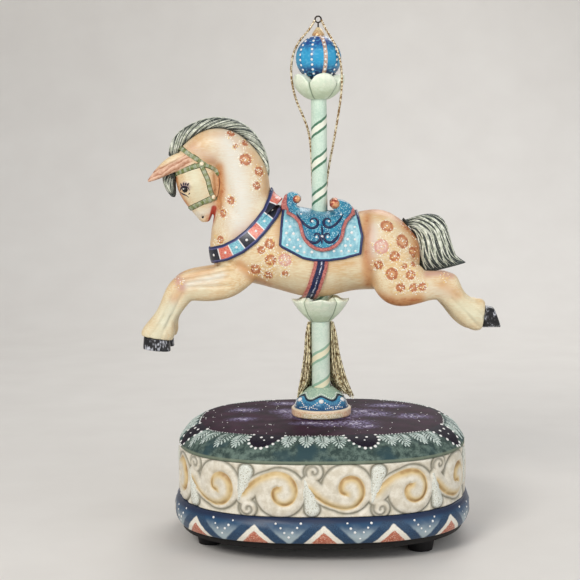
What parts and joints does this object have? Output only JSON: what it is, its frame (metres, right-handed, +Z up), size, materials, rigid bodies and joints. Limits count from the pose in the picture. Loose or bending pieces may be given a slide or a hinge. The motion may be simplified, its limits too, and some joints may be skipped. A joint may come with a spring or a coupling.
{
  "type": "carousel music box",
  "caption": "Wind-up music box: a painted carousel horse on a striped pole turns above a cushion-shaped carved base and lifts off its stand to hang by a gilt loop.",
  "frame": {"origin": "on the table, under the middle of the base, on the axis that the pole turns about", "axes": "+Z up along the pole, the horse faces -X, -Y is the side that the picture shows"},
  "size_m": [0.2074, 0.1524, 0.3001],
  "materials": {
    "black_rubber": "matt",
    "black_lacquer": "satin lacquer",
    "plinth_paint": "hand-painted cast resin, navy to pale blue, satin varnish",
    "carved_cream": "hand-painted cast resin, cream with ochre in the grooves",
    "lid_paint": "hand-painted cast resin, plum with a grey-green rim",
    "brass": "turned brass",
    "steel": "bright steel",
    "cast_bed": "die-cast grey metal",
    "blued_spring": "blued spring steel",
    "black_plastic": "moulded black plastic",
    "peach_paint": "hand-painted cast resin, peach with gilt",
    "foot_paint": "hand-painted cast resin, blue with a mint cap",
    "pole_paint": "painted wood, pale mint with green and cream spirals",
    "cup_paint": "hand-painted cast resin, ivory mint",
    "horse_cream": "hand-painted cast resin, cream with terracotta dapples",
    "hoof_black": "hand-painted cast resin, black",
    "hair_charcoal": "hand-painted cast resin, charcoal with ivory strokes",
    "saddle_paint": "hand-painted cast resin, turquoise with a coral edge",
    "blanket_paint": "hand-painted cast resin, pale turquoise",
    "tack_navy": "hand-painted cast resin, navy with coloured panels",
    "bridle_sage": "hand-painted cast resin, sage",
    "ball_blue": "hand-painted cast resin, blue with white dots",
    "gilt": "gilt",
    "dark_wire": "dark wire",
    "gold_thread": "metallic gold thread"
  },
  "bodies": {
    "base": {"feet": "black_rubber", "base_plate": "black_lacquer", "plinth": "plinth_paint", "scroll_band": "carved_cream", "lid": "lid_paint", "spindle_bush": "brass", "base_screws": "steel", "movement_screws": "steel", "bedplate": "cast_bed", "comb": "steel", "comb_screws": "steel", "governor_frame": "brass", "click_pin": "steel"},
    "carousel": {"spring_barrel": "brass", "great_wheel": "brass", "mainspring": "blued_spring", "output_spindle": "steel", "foot_ring": "peach_paint", "pole_foot": "foot_paint", "stand_tube": "pole_paint"},
    "figure": {"pole": "pole_paint", "lotus_cup": "cup_paint", "horse_body": "horse_cream", "near_foreleg": "horse_cream", "far_foreleg": "horse_cream", "near_hindleg": "horse_cream", "far_hindleg": "horse_cream", "hooves": "hoof_black", "mane": "hair_charcoal", "forelock": "hair_charcoal", "tail": "hair_charcoal", "saddle": "saddle_paint", "saddle_blanket": "blanket_paint", "girth_strap": "tack_navy", "breast_collar": "tack_navy", "bridle": "bridle_sage", "finial_cup": "cup_paint", "finial_ball": "ball_blue", "finial_cap": "gilt", "hanger_eye": "dark_wire", "hanging_cord": "gold_thread", "tassel": "gold_thread"},
    "winder": {"winding_key": "brass", "winding_arbor": "steel", "ratchet_wheel": "steel"},
    "click": {"click": "steel"},
    "cylinder": {"pin_cylinder": "brass", "cylinder_shaft": "steel", "cylinder_pinion": "brass", "cylinder_wheel": "brass"},
    "governor": {"governor_shaft": "steel", "governor_pinion": "brass", "governor_wheel": "brass"},
    "fly": {"fly_worm": "steel", "fly_vane": "black_plastic"}
  },
  "joints": [
    {"name": "carousel_spin", "type": "hinge", "parent": "base", "child": "carousel", "pos_m": [0, 0, 0.0685], "axis": [0, 0, 1], "continuous": true},
    {"name": "figure_lift", "type": "slide", "parent": "carousel", "child": "figure", "axis": [0, 0, 1], "range_m": [0, 0.03]},
    {"name": "winding_turn", "type": "hinge", "parent": "base", "child": "winder", "pos_m": [0, 0, 0.009], "axis": [0, 0, 1], "continuous": true},
    {"name": "click_pivot", "type": "hinge", "parent": "base", "child": "click", "pos_m": [-0.0094, 0.01628, 0.0152], "axis": [0, 0, -1], "range_deg": [0, 8], "stiffness_Nm_per_rad": 0.0005},
    {"name": "cylinder_spin", "type": "hinge", "parent": "base", "child": "cylinder", "pos_m": [0.0204, 0, 0.03338], "axis": [1, 0, 0], "continuous": true},
    {"name": "governor_spin", "type": "hinge", "parent": "base", "child": "governor", "pos_m": [0.0495, 0.0108, 0.03338], "axis": [1, 0, 0], "continuous": true},
    {"name": "fly_spin", "type": "hinge", "parent": "base", "child": "fly", "pos_m": [0.05, 0.0159, 0.03338], "axis": [0, 0, 1], "continuous": true}
  ],
  "couplings": [
    {"joint": "cylinder_spin", "follows": "carousel_spin", "ratio": 4},
    {"joint": "governor_spin", "follows": "carousel_spin", "ratio": -12},
    {"joint": "fly_spin", "follows": "carousel_spin", "ratio": 108}
  ]
}
